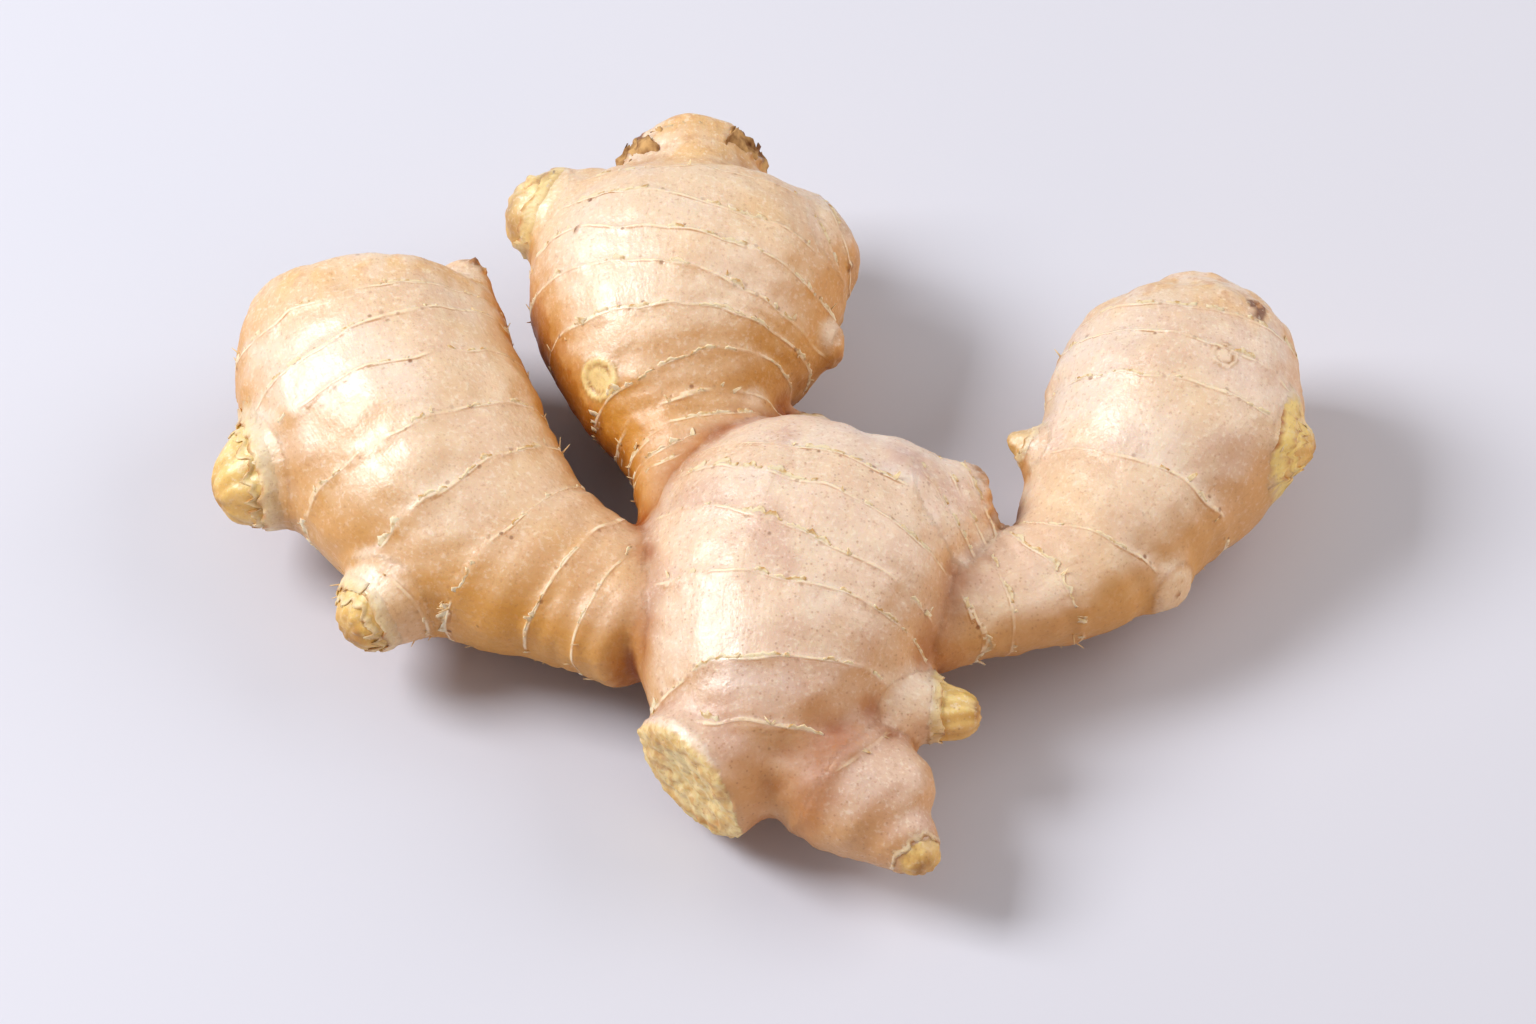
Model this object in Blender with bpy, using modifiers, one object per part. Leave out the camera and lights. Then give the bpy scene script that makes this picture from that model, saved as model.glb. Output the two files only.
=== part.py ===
"""A hand of ginger root: one rhizome of swollen lobes with ring scars, buds and a broken-off stem stub.

The hand lies on a flat surface with +Z up. The origin is under the middle of its box, on that
surface. +X runs along its longest side, from the left lobe to the right one, and +Y runs from the
lower lobe, where it was broken off its mother plant, to the back lobe.
"""

import bmesh
import bpy
import numpy as np
from mathutils import Matrix, Vector, noise

MM = 0.001

# Lobes of the rhizome. line gives points of the centreline from neck to tip: x, y, z and the width
# across the lobe there, in mm. thick is the lobe's height for its width. rings are the scars where
# leaf scales grew: how far along the line each one is, and how far it runs askew, in mm.
LOBES = {
    "mother": {
        "line": [
            (1, -45, 15, 22),
            (0.5, -39, 16.5, 33),
            (2.5, -25, 18, 43),
            (6.5, -12, 18.5, 46),
            (11, -3, 18, 38),
            (14, 1, 17.5, 26),
            (15.5, 3, 17.5, 14),
        ],
        "thick": 0.82,
        "rings": [(0.5, 0), (8.5, 3), (19, 1), (26.5, -2.5), (34, -1), (40, 2)],
    },
    "left": {
        "line": [
            (-16, -23, 17, 21),
            (-26, -16, 16.5, 24),
            (-37, -9.5, 16.5, 31),
            (-46.5, 0.5, 17.5, 38),
            (-53, 12, 18, 41.5),
            (-56.5, 23, 18, 41.5),
            (-57, 30.5, 18, 39),
            (-57, 34, 18, 32),
            (-57, 36.3, 18.3, 22),
            (-57, 37.2, 18.5, 10),
        ],
        "thick": 0.88,
        "rings": [(6, 0), (12.5, -2), (22, -1), (32, -1), (41, -2), (51, -1.5), (58.5, 1.5), (65, 0)],
    },
    "back": {
        "line": [
            (-7.5, -4, 18, 21),
            (-9.5, 8, 18, 22.5),
            (-11.5, 15.5, 18.5, 30),
            (-12, 23, 19, 39.5),
            (-11.5, 34, 19, 46.5),
            (-11, 43, 19, 45.5),
            (-11, 51, 19, 38),
            (-10.5, 56, 19.5, 24),
            (-10.5, 58, 19.5, 12),
        ],
        "thick": 0.80,
        "rings": [(6, 0), (13, 2), (20, 4), (26.5, 0), (32, -3.5), (38, -3.5), (44.5, -4), (52, -2)],
    },
    "right": {
        "line": [
            (19.5, -21.5, 17, 18.5),
            (26.5, -20.5, 17, 17),
            (33.5, -17.5, 16, 18),
            (43.5, -11.5, 15.5, 22),
            (51.5, -0.5, 15.5, 29.5),
            (58.5, 13, 16.3, 37.5),
            (61, 24, 17, 35.5),
            (61.5, 30.5, 17.5, 29),
            (61.5, 34, 18, 20),
            (61.5, 35.5, 18, 8),
        ],
        "thick": 0.9,
        "rings": [(6, 3), (13.5, -1), (20, 2), (26.5, 4), (40.5, 2), (53.5, 2), (61.5, -1), (67.5, 0)],
    },
    "lower": {
        "line": [(4, -39, 15, 26), (10, -46, 14, 22), (16, -52, 13, 18), (19, -56, 12, 11)],
        "thick": 0.86,
        "rings": [(4, 0), (12, 0)],
    },
}

# Buds and stubs that grow on the lobes: points from inside the lobe out to the tip, as above. Their rings
# are the rims of the small scale leaves that sheathe them.
BUDS = {
    "left_end_bud": {
        "line": [
            (-61, 10, 18, 24),
            (-67.5, 6.3, 17.3, 20),
            (-73, 3.8, 17, 15.5),
            (-76.5, 2.3, 17, 11),
            (-78.3, 1.6, 17, 7),
            (-79.3, 1.3, 17, 3),
        ],
        "rings": [(8, 1.2), (13.2, -1)],
    },
    "left_low_bud": {
        "line": [(-48, -11, 16, 22), (-53.5, -16, 15, 16.5), (-57.5, -20, 14.5, 11), (-59.3, -22, 14.5, 6)],
        "rings": [(8, 0.8), (11.8, -0.4)],
    },
    "left_corner_stub": {
        "line": [(-48, 26, 21, 18), (-43.5, 35, 22, 9), (-42, 37.5, 22, 5)],
        "rings": [(6, 0.3), (9, 0)],
    },
    "back_side_bud": {
        "line": [(-22, 45, 20, 24), (-30, 49, 20.5, 16.5), (-35, 50.5, 21, 11), (-37.5, 51.5, 21, 6)],
        "rings": [(8.5, 0.8), (12, -0.5)],
    },
    "back_stem_stub": {
        "line": [(-10.5, 48, 21, 21), (-10.5, 58, 21.5, 20), (-10.5, 61.5, 21.5, 18)],
        "rings": [(8.5, 0.5), (11.2, -0.4)],
    },
    "back_shoulder": {
        "line": [(-2, 40, 20, 29), (7, 43.5, 20, 20), (11.5, 44.5, 20, 13), (13, 45, 20, 6)],
        "rings": [(9.5, 0.8), (13, 0)],
    },
    "back_small_nub": {
        "line": [(4, 28.5, 20, 10), (9.5, 26, 20, 6.5), (11.5, 25.5, 20, 5)],
        "rings": [(4.5, 0), (6.5, 0)],
    },
    "mother_corner_nub": {
        "line": [
            (12, -10, 17.5, 34),
            (20, -7.5, 19, 29),
            (26, -5, 19.6, 19.5),
            (30.3, -2.8, 20, 12),
            (32.3, -2, 20, 8),
        ],
        "rings": [(13.6, 0.4), (15.4, 0.4), (17, 0.3), (18.5, 0.2), (19.8, 0)],
    },
    "mother_side_bud": {
        "line": [
            (12, -35, 16, 22),
            (17.5, -36, 16, 15),
            (21, -36.6, 16, 11.5),
            (23.8, -37, 16, 9.6),
            (24.4, -37.2, 16, 7.4),
            (28, -37.5, 16, 6.2),
            (30, -37.5, 16, 3.5),
        ],
        "rings": [(11.9, 0.3)],
    },
    "mother_back_bud": {
        "line": [(6, 2, 14, 16), (6, 11, 14, 12), (6, 15.5, 14, 8), (6, 17, 14, 4)],
        "rings": [(9, 0.2), (12.5, 0)],
    },
    "right_inner_nub": {
        "line": [(47, 5, 18, 17), (41, 6.5, 19, 10), (37.3, 8.2, 19.3, 5), (34.8, 9.3, 19.6, 2.5)],
        "rings": [(6, 0.5), (9.2, -0.3)],
    },
    "right_outer_bud": {
        "line": [
            (66, 10.5, 18, 21),
            (72.5, 9.4, 18, 16.5),
            (75.4, 9, 18, 12),
            (76.2, 9, 18, 8),
            (78.4, 8.8, 18, 5.5),
            (79.7, 8.6, 18, 2.5),
        ],
        "rings": [(4, 1), (9.4, -0.3)],
    },
    "right_low_nub": {
        "line": [(52, -6, 14, 15), (57, -12.5, 14.5, 10), (59, -15, 14.5, 7)],
        "rings": [(4.6, 0.2), (6.3, 0.2), (8, 0.1), (9.6, 0)],
    },
    "mother_break": {
        "line": [(-1, -38, 16, 24), (-8, -45.5, 14.5, 22), (-10.5, -48, 14, 21)],
        "rings": [(6, 0.4)],
    },
    "lower_tip_bud": {
        "line": [(15, -51, 13, 13), (20, -57.5, 12.5, 8.5), (21.7, -60.6, 12.5, 5.5), (22.2, -62, 12.5, 2.5)],
        "rings": [(5.5, 0.4), (8.6, -0.2)],
    },
}

# Round scars left by stems and buds: the middle, x, y and z, the radius and the depth, in mm.
SCARS = {
    "back_stem": (-10.5, 62, 21.5, 6.0, 1.5),
    "back_bud": (-24.1, 14.4, 25.1, 3.0, 0.8),
    "mother_break": (-11, -48.5, 14, 8.0, 0.4),
    "left_end": (-56, 37.2, 20, 6.5, 0.6),
    "right_end": (61.5, 35.5, 20, 5.5, 0.6),
}

STEP_ALONG = 1.2  # mm between the sections of a lobe as it is swept
WELD = 0.01  # mm, within which a tube's caps are joined to its side
LOBE_GRAIN = 0.9  # mm, the net that fuses the lobes
BUD_GRAIN = 0.65  # mm, the finer net that then fuses the buds to them
LOBE_FILLET = 18  # rounds of smoothing that fill the creases between lobes
BUD_FILLET = 5  # rounds of smoothing that fill the creases round the buds
RIDGE_HEIGHT = 0.7  # mm that a ring scar stands out of the skin
RIDGE_HALF_WIDTH = 0.9  # mm
BUD_RIDGE = 0.5  # of a ring scar's height, for the rim of a bud's scale leaf
BUD_EDGE = 0.5  # mm that a bud stands out of its lobe where its own rings take over
OLD_SKIN_END = 8.5  # mm along the mother lobe, up to which its oldest scale leaf has gone
OLD_SKIN_ASKEW = 3.0  # mm that the edge of what is left runs askew
OLD_SKIN_STEP = 0.5  # mm that the skin lies lower there
SWELL = 0.4  # mm that the skin bulges between two rings
SWELL_REACH = 5.0  # mm from a ring to the top of that bulge
LUMP = 0.8  # mm of slow unevenness
LUMP_LENGTH = 20.0  # mm
WAVER = 0.9  # mm that a ring wanders off its plane
WAVER_LENGTH = 6.0  # mm
JOIN_FADE = 3.0  # mm over which a ring dies out beside a neighbouring lobe
SCAR_DISH = 0.6  # of a scar's radius, where its dish ends
SCAR_RIM = 0.3  # of a scar's radius, half the width of the rim round it
RIM_HEIGHT = 0.5  # of a scar's depth
MOST_TRIANGLES = 10800


def smooth_line(rows, step=STEP_ALONG):
    """The rows of a lobe read every step along a smooth curve that passes through them."""
    rows = np.array(rows, float)
    ends = [2 * rows[0] - rows[1], *rows, 2 * rows[-1] - rows[-2]]
    out = []
    for a, b, c, d in zip(ends, ends[1:], ends[2:], ends[3:]):
        count = max(2, round(np.linalg.norm((c - b)[:3]) / step))
        for t in np.arange(count) / count:
            bend = (2 * a - 5 * b + 4 * c - d) + t * (3 * (b - c) + d - a)
            out.append(b + 0.5 * t * ((c - a) + t * bend))
    out.append(rows[-1])
    return np.array(out)


def sweep(name, rows, thick):
    """A round tube along the line, as wide as each row says, flattened to its height."""
    line = smooth_line(rows)
    curve = bpy.data.curves.new(name, "CURVE")
    curve.dimensions = "3D"
    curve.bevel_depth = 1.0
    curve.bevel_resolution = 8
    curve.use_fill_caps = True
    spline = curve.splines.new("POLY")
    spline.points.add(len(line) - 1)
    for point, (x, y, z, width) in zip(spline.points, line):
        point.co = (x * MM, y * MM, z * MM / thick, 1)
        point.radius = width * MM / 2
    tube = bpy.data.objects.new(name, curve)
    bpy.context.scene.collection.objects.link(tube)
    bpy.context.view_layer.update()
    mesh = bpy.data.meshes.new_from_object(tube.evaluated_get(bpy.context.evaluated_depsgraph_get()))
    bpy.data.objects.remove(tube)
    mesh.transform(Matrix.Diagonal((1, 1, thick, 1)))
    return mesh


def apply_modifiers(thing):
    """Replaces the object's mesh with the one that its modifiers make, and removes them."""
    bpy.context.view_layer.update()
    graph = bpy.context.evaluated_depsgraph_get()
    thing.data = bpy.data.meshes.new_from_object(thing.evaluated_get(graph))
    thing.modifiers.clear()


def fuse(root, meshes, grain, passes):
    """Grows the root by the overlapping tubes, under one closed skin with its creases filled."""
    shape = bmesh.new()
    shape.from_mesh(root.data)
    for mesh in meshes:
        shape.from_mesh(mesh)
        bpy.data.meshes.remove(mesh)
    bmesh.ops.remove_doubles(shape, verts=shape.verts, dist=WELD * MM)
    shape.to_mesh(root.data)
    shape.free()
    net = root.modifiers.new("net", "REMESH")
    net.mode = "VOXEL"
    net.voxel_size = grain * MM
    fillet = root.modifiers.new("fillet", "SMOOTH")
    fillet.factor = 0.5
    fillet.iterations = passes
    apply_modifiers(root)


def places_on(growths, points):
    """For points in mm: how far outside each lobe or bud they lie, how far along it, and to which side.

    The side runs from -1 to 1 across it, in plan.
    """
    outside, along, side = [], [], []
    for growth in growths.values():
        line = smooth_line(growth["line"])
        squash = np.array((1, 1, 1 / growth.get("thick", 1)))
        middle = line[:, :3] * squash
        reach = np.concatenate([[0], np.cumsum(np.linalg.norm(np.diff(line[:, :3], axis=0), axis=1))])
        onward = np.gradient(middle, axis=0)
        onward /= np.linalg.norm(onward, axis=1)[:, None]
        rightward = np.cross(onward, (0, 0, 1))
        best = np.full((3, len(points)), np.inf)
        for place, ahead, right, at, width in zip(middle, onward, rightward, reach, line[:, 3]):
            off = points * squash - place
            gap = np.linalg.norm(off, axis=1) - width / 2
            nearer = gap < best[0]
            best[0, nearer] = gap[nearer]
            best[1, nearer] = at + off[nearer] @ ahead
            best[2, nearer] = off[nearer] @ right / (width / 2)
        outside.append(best[0])
        along.append(best[1])
        side.append(best[2])
    return np.array(outside), np.array(along), np.array(side)


def ring_distance(points, along, side, rings):
    """How far each point is from the nearest of the rings, in mm."""
    waver = np.array([noise.noise(Vector(p) / WAVER_LENGTH) for p in points]) * WAVER
    away = [np.abs(along + waver - at - askew * side) for at, askew in rings]
    return np.min(away, axis=0)


def ring_relief(points):
    """How far the skin stands out because of the ring scars and the swellings between them."""
    outside, along, side = places_on(LOBES, points)
    nearest = outside.argmin(axis=0)
    order = np.sort(outside, axis=0)
    clear_of_neighbour = np.clip((order[1] - order[0]) / JOIN_FADE, 0, 1)
    relief = np.zeros(len(points))
    for index, lobe in enumerate(LOBES.values()):
        mine = nearest == index
        away = ring_distance(points[mine], along[index, mine], side[index, mine], lobe["rings"])
        ridge = RIDGE_HEIGHT * np.exp(-((away / RIDGE_HALF_WIDTH) ** 2))
        swell = SWELL * (np.clip(away / SWELL_REACH, 0, 1) - 0.5)
        relief[mine] = ridge + swell
    edge = OLD_SKIN_END + OLD_SKIN_ASKEW * side[0]
    bared = np.clip((edge - along[0]) / RIDGE_HALF_WIDTH, 0, 1)
    relief -= OLD_SKIN_STEP * bared * (nearest == 0)
    bud_outside, bud_along, bud_side = places_on(BUDS, points)
    rise = order[0] - bud_outside.min(axis=0)
    nearest_bud = bud_outside.argmin(axis=0)
    rims = np.zeros(len(points))
    for index, bud in enumerate(BUDS.values()):
        mine = nearest_bud == index
        away = ring_distance(points[mine], bud_along[index, mine], bud_side[index, mine], bud["rings"])
        rims[mine] = BUD_RIDGE * RIDGE_HEIGHT * np.exp(-((away / RIDGE_HALF_WIDTH) ** 2))
    on_bud = np.clip((rise + BUD_EDGE) / (2 * BUD_EDGE), 0, 1)
    return relief * clear_of_neighbour * (1 - on_bud) + rims * on_bud


def scar_relief(points):
    """A shallow dish with a low rim at each round scar."""
    relief = np.zeros(len(points))
    for x, y, z, radius, depth in SCARS.values():
        away = np.linalg.norm(points - (x, y, z), axis=1) / radius
        relief -= depth * np.exp(-((away / SCAR_DISH) ** 4))
        relief += RIM_HEIGHT * depth * np.exp(-(((away - 1) / SCAR_RIM) ** 2))
    return relief


def raise_relief(root):
    """Moves the skin along its normals by the rings, the scars and a slow unevenness."""
    mesh = root.data
    points = np.empty(len(mesh.vertices) * 3)
    normals = np.empty(len(mesh.vertices) * 3)
    mesh.vertices.foreach_get("co", points)
    mesh.vertices.foreach_get("normal", normals)
    points = points.reshape(-1, 3) / MM
    normals = normals.reshape(-1, 3)
    lumps = LUMP * np.array([noise.noise(Vector(p) / LUMP_LENGTH) for p in points])
    relief = lumps + ring_relief(points) + scar_relief(points)
    mesh.vertices.foreach_set("co", ((points + normals * relief[:, None]) * MM).ravel())
    mesh.update()


def thin_out(root):
    """Keeps the faces where the skin bends and drops them where it is smooth."""
    root.data.calc_loop_triangles()
    sparse = root.modifiers.new("sparse", "DECIMATE")
    sparse.ratio = MOST_TRIANGLES / len(root.data.loop_triangles)
    sparse.use_collapse_triangulate = True
    apply_modifiers(root)


def flatten_underside(root):
    """Cuts off what reaches below the surface, which leaves a flat spot under each lobe."""
    shape = bmesh.new()
    shape.from_mesh(root.data)
    everything = [*shape.verts, *shape.edges, *shape.faces]
    cut = bmesh.ops.bisect_plane(
        shape, geom=everything, plane_co=(0, 0, 0), plane_no=(0, 0, -1), clear_outer=True
    )
    rims = [e for e in cut["geom_cut"] if isinstance(e, bmesh.types.BMEdge)]
    bmesh.ops.holes_fill(shape, edges=rims, sides=0)
    bmesh.ops.triangulate(shape, faces=[f for f in shape.faces if len(f.verts) > 3])
    bmesh.ops.recalc_face_normals(shape, faces=shape.faces)
    shape.to_mesh(root.data)
    shape.free()


def skin_material():
    """Thin papery skin over firm flesh."""
    skin = bpy.data.materials.new("ginger_skin")
    skin.use_nodes = True
    shader = skin.node_tree.nodes["Principled BSDF"]
    shader.inputs["Base Color"].default_value = (0.62, 0.42, 0.24, 1)
    shader.inputs["Roughness"].default_value = 0.5
    shader.inputs["Metallic"].default_value = 0.0
    return skin


def main():
    for thing in list(bpy.data.objects):
        bpy.data.objects.remove(thing)
    hand = bpy.data.collections.new("ginger_hand")
    bpy.context.scene.collection.children.link(hand)
    root = bpy.data.objects.new("ginger_root", bpy.data.meshes.new("ginger_root"))
    hand.objects.link(root)
    fuse(root, [sweep(n, lobe["line"], lobe["thick"]) for n, lobe in LOBES.items()], LOBE_GRAIN, LOBE_FILLET)
    fuse(root, [sweep(name, bud["line"], 1.0) for name, bud in BUDS.items()], BUD_GRAIN, BUD_FILLET)
    raise_relief(root)
    thin_out(root)
    flatten_underside(root)
    root.data.materials.append(skin_material())
    root.data.shade_smooth()


main()
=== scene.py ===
"""The looks of a hand of fresh ginger root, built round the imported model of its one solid.

Lengths are in millimetres in the numbers below and in metres in the meshes. +X runs from the left
lobe to the right one, +Y from the broken lower end to the back lobe, and +Z up.
"""

import bpy
import numpy as np
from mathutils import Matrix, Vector, noise
from mathutils.bvhtree import BVHTree
from mathutils.kdtree import KDTree


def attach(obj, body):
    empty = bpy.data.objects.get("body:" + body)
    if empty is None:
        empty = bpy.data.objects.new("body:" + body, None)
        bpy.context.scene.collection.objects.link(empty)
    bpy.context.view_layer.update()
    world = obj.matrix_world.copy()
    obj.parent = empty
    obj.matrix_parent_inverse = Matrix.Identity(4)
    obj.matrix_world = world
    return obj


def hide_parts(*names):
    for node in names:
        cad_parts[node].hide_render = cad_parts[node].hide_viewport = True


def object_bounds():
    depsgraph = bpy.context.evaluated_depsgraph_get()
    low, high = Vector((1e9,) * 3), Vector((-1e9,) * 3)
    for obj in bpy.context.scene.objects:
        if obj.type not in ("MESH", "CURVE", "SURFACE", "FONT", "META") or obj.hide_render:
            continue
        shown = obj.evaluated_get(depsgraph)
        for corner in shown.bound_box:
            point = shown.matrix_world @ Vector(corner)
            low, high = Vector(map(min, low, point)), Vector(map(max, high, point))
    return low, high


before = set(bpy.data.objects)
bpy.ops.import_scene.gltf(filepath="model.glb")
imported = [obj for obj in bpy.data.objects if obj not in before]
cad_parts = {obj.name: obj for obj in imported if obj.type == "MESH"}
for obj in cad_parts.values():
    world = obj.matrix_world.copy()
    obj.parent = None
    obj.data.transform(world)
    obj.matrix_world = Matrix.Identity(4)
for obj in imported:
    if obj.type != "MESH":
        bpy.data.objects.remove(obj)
cad_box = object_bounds()
scene = bpy.context.scene

# The skin. On the real root it is a cork film thinner than paper, grown over firm flesh, with a ring
# scar wherever a scale leaf grew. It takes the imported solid's own form, with the facets smoothed away
# and the fine relief that the solid can't carry raised again along the same growth lines.
MM = 0.001

# Points of each lobe's centreline from neck to tip, as in the solid: x, y, z and width, in mm. thick is
# the lobe's height for its width, and rings gives each scar's distance along the line and how far it
# runs askew. pink is how rosy the lobe's skin is, gold how golden that of its neck, shade_climb how far
# up its sides the painted orange shade reaches, and ochre how much of its end is yellow and scaly. A
# trait that isn't given is 0, here and for the buds.
LOBES = {
    "mother": {
        "line": [
            (1, -45, 15, 22), (0.5, -39, 16.5, 33), (2.5, -25, 18, 43), (6.5, -12, 18.5, 46),
            (11, -3, 18, 38), (14, 1, 17.5, 26), (15.5, 3, 17.5, 14),
        ],
        "thick": 0.82,
        "rings": [(0.5, 0), (8.5, 3), (19, 1), (26.5, -2.5), (34, -1), (40, 2)],
        "pink": 1.0,
    },
    "left": {
        "line": [
            (-16, -23, 17, 21), (-26, -16, 16.5, 24), (-37, -9.5, 16.5, 31), (-46.5, 0.5, 17.5, 38),
            (-53, 12, 18, 41.5), (-56.5, 23, 18, 41.5), (-57, 30.5, 18, 39), (-57, 34, 18, 32),
            (-57, 36.3, 18.3, 22), (-57, 37.2, 18.5, 10),
        ],
        "thick": 0.88,
        "rings": [(6, 0), (12.5, -2), (22, -1), (32, -1), (41, -2), (51, -1.5), (58.5, 1.5), (65, 0)],
        "pink": 0.3, "gold": 0.6, "shade_climb": 0.07, "ochre": 0.8,
    },
    "back": {
        "line": [
            (-7.5, -4, 18, 21), (-9.5, 8, 18, 22.5), (-11.5, 15.5, 18.5, 30), (-12, 23, 19, 39.5),
            (-11.5, 34, 19, 46.5), (-11, 43, 19, 45.5), (-11, 51, 19, 38), (-10.5, 56, 19.5, 24),
            (-10.5, 58, 19.5, 12),
        ],
        "thick": 0.80,
        "rings": [
            (6, 0), (9.5, 2), (13, 2), (16, 3), (20, 4), (26.5, 0), (32, -3.5), (38, -3.5), (44.5, -4),
            (52, -2),
        ],
        "pink": 0.2, "gold": 0.9, "shade_climb": 0.03, "ochre": 0.6,
    },
    "right": {
        "line": [
            (19.5, -21.5, 17, 18.5), (26.5, -20.5, 17, 17), (33.5, -17.5, 16, 18), (43.5, -11.5, 15.5, 22),
            (51.5, -0.5, 15.5, 29.5), (58.5, 13, 16.3, 37.5), (61, 24, 17, 35.5), (61.5, 30.5, 17.5, 29),
            (61.5, 34, 18, 20), (61.5, 35.5, 18, 8),
        ],
        "thick": 0.9,
        "rings": [(6, 3), (13.5, -1), (20, 2), (26.5, 4), (40.5, 2), (53.5, 2), (61.5, -1), (67.5, 0)],
        "pink": 0.45, "shade_climb": -0.16, "ochre": 0.7,
    },
    "lower": {
        "line": [(4, -39, 15, 26), (10, -46, 14, 22), (16, -52, 13, 18), (19, -56, 12, 11)],
        "thick": 0.86,
        "rings": [(4, 0), (12, 0)],
        "pink": 0.9,
    },
}

# The buds and stubs on the lobes, as in the solid, from inside the lobe to the tip. Their rings are the
# rims of the small scale leaves that sheathe them. Past the last one, green is how yellow-green the live
# tip is and dry how brown and shrivelled it is. yellow is how golden the sheath is, and pale how pale the
# whole bud is.
BUDS = {
    "left_end_bud": {
        "line": [
            (-61, 10, 18, 24), (-67.5, 6.3, 17.3, 20), (-73, 3.8, 17, 15.5), (-76.5, 2.3, 17, 11),
            (-78.3, 1.6, 17, 7), (-79.3, 1.3, 17, 3),
        ],
        "rings": [(8, 1.2), (13.2, -1)],
        "green": 1.0,
    },
    "left_low_bud": {
        "line": [(-48, -11, 16, 22), (-53.5, -16, 15, 16.5), (-57.5, -20, 14.5, 11), (-59.3, -22, 14.5, 6)],
        "rings": [(8, 0.8), (11.8, -0.4)],
        "green": 0.9,
    },
    "left_corner_stub": {
        "line": [(-48, 26, 21, 18), (-43.5, 35, 22, 9), (-42, 37.5, 22, 5)],
        "rings": [(6, 0.3), (9, 0)],
        "green": 0.2, "dry": 0.7,
    },
    "back_side_bud": {
        "line": [(-22, 45, 20, 24), (-30, 49, 20.5, 16.5), (-35, 50.5, 21, 11), (-37.5, 51.5, 21, 6)],
        "rings": [(8.5, 0.8), (12, -0.5)],
        "green": 0.6, "dry": 0.3, "yellow": 0.35,
    },
    "back_stem_stub": {
        "line": [(-10.5, 48, 21, 21), (-10.5, 58, 21.5, 20), (-10.5, 61.5, 21.5, 18)],
        "rings": [(8.5, 0.5), (11.2, -0.4)],
        "dry": 0.1, "pale": 0.8,
    },
    "back_shoulder": {
        "line": [(-2, 40, 20, 29), (7, 43.5, 20, 20), (11.5, 44.5, 20, 13), (13, 45, 20, 6)],
        "rings": [(9.5, 0.8), (13, 0)],
        "dry": 0.2,
    },
    "back_small_nub": {
        "line": [(4, 28.5, 20, 10), (9.5, 26, 20, 6.5), (11.5, 25.5, 20, 5)],
        "rings": [(4.5, 0), (6.5, 0)],
        "dry": 0.4,
    },
    "mother_corner_nub": {
        "line": [
            (12, -10, 17.5, 34), (20, -7.5, 19, 29), (26, -5, 19.6, 19.5), (30.3, -2.8, 20, 12),
            (32.3, -2, 20, 8),
        ],
        "rings": [(13.6, 1.6), (17, 0.6), (19.6, 0)],
        "dry": 0.5,
    },
    "mother_side_bud": {
        "line": [
            (12, -35, 16, 22), (17.5, -36, 16, 15), (21, -36.6, 16, 11.5), (23.8, -37, 16, 9.6),
            (24.4, -37.2, 16, 7.4), (28, -37.5, 16, 6.2), (30, -37.5, 16, 3.5),
        ],
        "rings": [(11.9, 0.3)],
        "green": 1.0,
    },
    "mother_back_bud": {
        "line": [(6, 2, 14, 16), (6, 11, 14, 12), (6, 15.5, 14, 8), (6, 17, 14, 4)],
        "rings": [(9, 0.2), (12.5, 0)],
        "green": 0.8, "dry": 0.1,
    },
    "right_inner_nub": {
        "line": [(47, 5, 18, 17), (41, 6.5, 19, 10), (37.3, 8.2, 19.3, 5), (34.8, 9.3, 19.6, 2.5)],
        "rings": [(6, 0.5), (9.2, -0.3)],
        "green": 0.4, "dry": 0.3,
    },
    "right_outer_bud": {
        "line": [
            (66, 10.5, 18, 21), (72.5, 9.4, 18, 16.5), (75.4, 9, 18, 12), (76.2, 9, 18, 8),
            (78.4, 8.8, 18, 5.5), (79.7, 8.6, 18, 2.5),
        ],
        "rings": [(4, 1), (9.4, -0.3)],
        "green": 1.0, "yellow": 1.0,
    },
    "right_low_nub": {
        "line": [(52, -6, 14, 15), (57, -12.5, 14.5, 10), (59, -15, 14.5, 7)],
        "rings": [(4.6, 0.2), (6.3, 0.2), (8, 0.1), (9.6, 0)],
        "pale": 0.75,
    },
    "mother_break": {
        "line": [(-1, -38, 16, 24), (-8, -45.5, 14.5, 22), (-10.5, -48, 14, 21)],
        "rings": [(6, 0.4)],
    },
    "lower_tip_bud": {
        "line": [
            (15, -51, 13, 13), (20, -57.5, 12.5, 8.5), (21.7, -60.6, 12.5, 5.5), (22.2, -62, 12.5, 2.5),
        ],
        "rings": [(5.5, 0.4), (8.6, -0.2)],
        "green": 0.8, "dry": 0.1,
    },
}

# Round scars where a bud or a stem broke away: the middle, x, y and z, and the radius, in mm, and how
# yellow the skin is in it.
SCARS = {
    "back_bud": ((-23.6, 15.0, 26.0), 2.9, 0.9),
    "right_circle": ((65.9, 14.3, 32.3), 1.9, 0.15),
    "back_stem": ((-10.5, 62.0, 21.5), 6.5, 0.6),
    "left_end": ((-56.0, 37.2, 20.0), 6.0, 0.4),
    "right_end": ((61.5, 35.5, 20.0), 5.0, 0.4),
}

# Dried brown crusts where the skin was bruised or a sheath rotted away: the middle and the radius, in mm.
CRUSTS = [
    ((-18.8, 59.4, 24.5), 3.4),
    ((-2.6, 59.2, 25.0), 3.2),
    ((-33.4, 51.8, 26.2), 2.4),
    ((71.0, 25.5, 29.0), 2.2),
    ((-43.0, 36.0, 24.5), 2.0),
    ((12.5, 38.4, 23.1), 0.9),
    ((-27.3, 36.9, 33.4), 0.7),
    ((-52.0, -19.0, 19.0), 1.2),
    ((59.4, -15.8, 15.2), 1.1),
]

STEP_ALONG = 1.2  # mm between the places read along a growth line
WAVER_LENGTH = 6.0  # mm over which a ring wanders off its plane
LOBE_WAVER = 0.9  # mm that a lobe's ring wanders
BUD_WAVER = 0.5  # mm that a bud's ring does


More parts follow.
